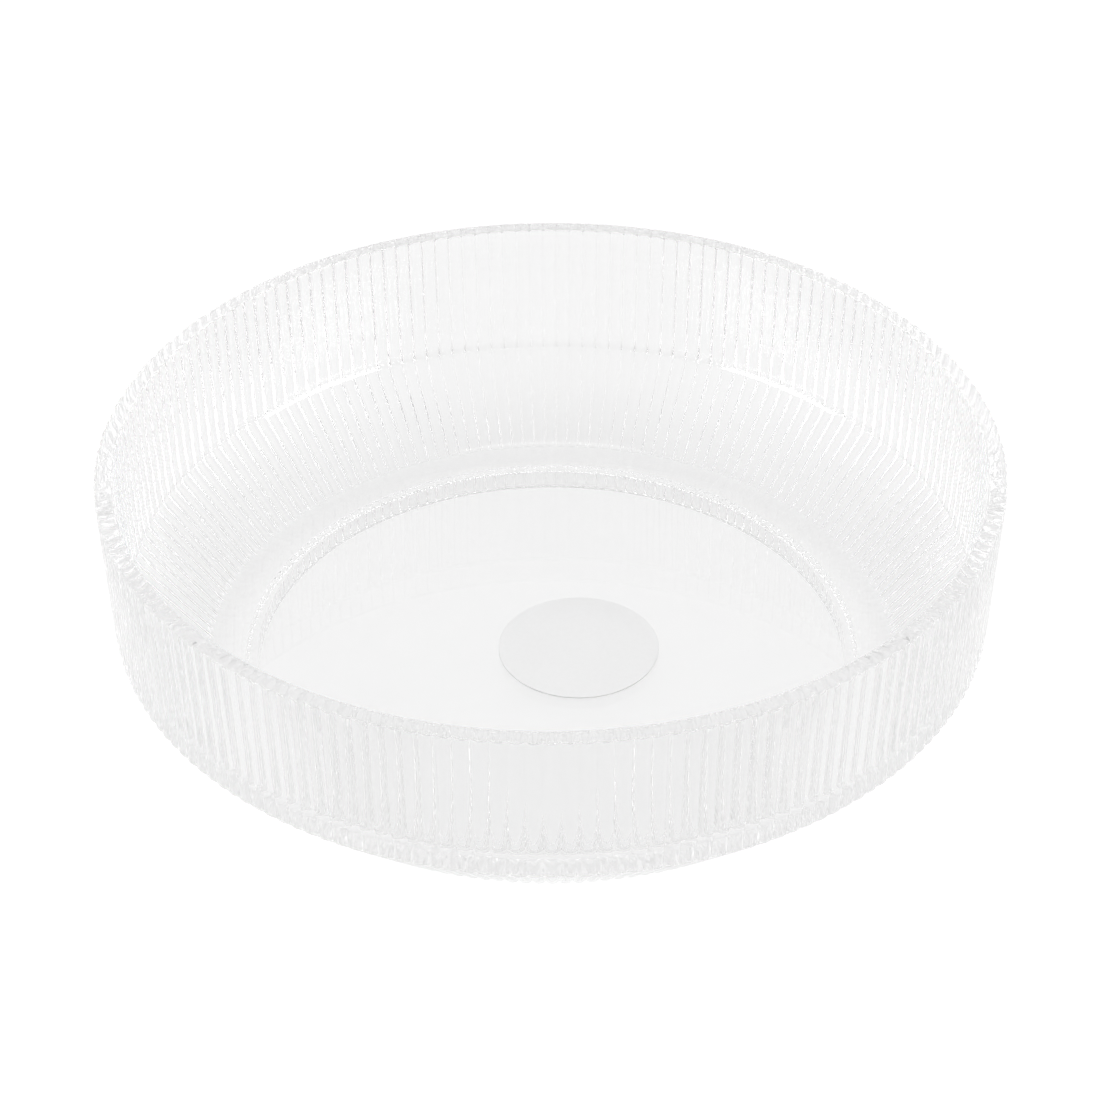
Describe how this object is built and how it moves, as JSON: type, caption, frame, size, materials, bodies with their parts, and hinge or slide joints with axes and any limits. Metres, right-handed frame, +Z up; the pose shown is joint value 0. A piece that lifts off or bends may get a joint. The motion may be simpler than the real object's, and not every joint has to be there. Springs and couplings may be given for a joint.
{
  "type": "vanity tray",
  "caption": "Round clear fluted tray with a high upright wall, a sloping inner bevel and a flat raised floor, for holding perfume bottles and cosmetics on a dresser.",
  "frame": {"origin": "middle of the foot ring's underside, on the surface that the tray stands on", "axes": "+Z up along the tray's axis of revolution, -Y towards the front, +X to the right"},
  "size_m": [0.2544, 0.2544, 0.076],
  "materials": {
    "clear_plastic": "clear moulded plastic, polished inside, fluted outside",
    "label_film": "plain white satin label film"
  },
  "bodies": {
    "root": {"tray_bowl": "clear_plastic", "foot_ring": "clear_plastic", "round_label": "label_film"}
  },
  "joints": []
}
